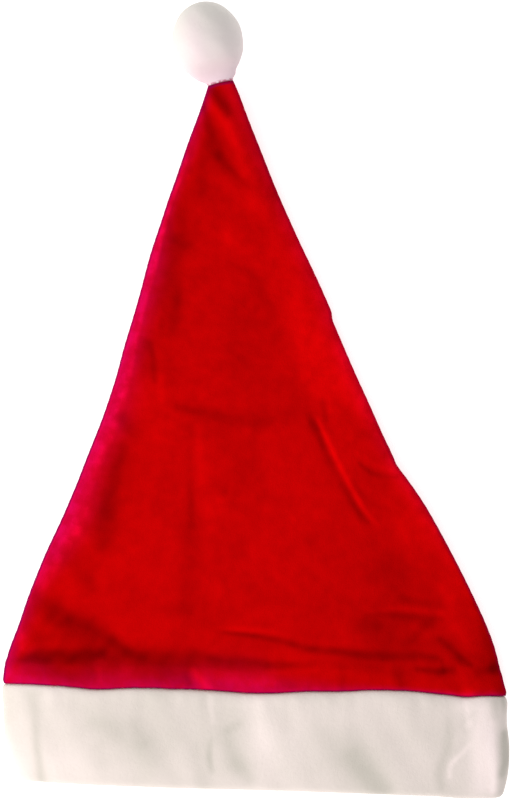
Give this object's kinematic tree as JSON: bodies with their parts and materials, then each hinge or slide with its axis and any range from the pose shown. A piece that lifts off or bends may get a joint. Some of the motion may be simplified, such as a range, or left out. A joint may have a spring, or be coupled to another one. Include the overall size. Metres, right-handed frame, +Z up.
{
  "type": "santa hat",
  "caption": "Flat-lying soft cone hat in red felt with a folded white fleece band round its opening and a white pompom on the tip.",
  "frame": {"origin": "the middle of the underside, on the surface where the hat lies flat", "axes": "+Y from the band towards the tip and pompom, +X across the hat, +Z up from the surface"},
  "size_m": [0.2926, 0.4548, 0.0375],
  "materials": {
    "red_felt": "brushed red felt with a short nap",
    "white_fleece": "matt off-white fleece, folded double",
    "white_fibre": "matt white fleece fibre"
  },
  "bodies": {
    "root": {"crown": "red_felt", "band": "white_fleece", "pompom": "white_fibre"}
  },
  "joints": []
}
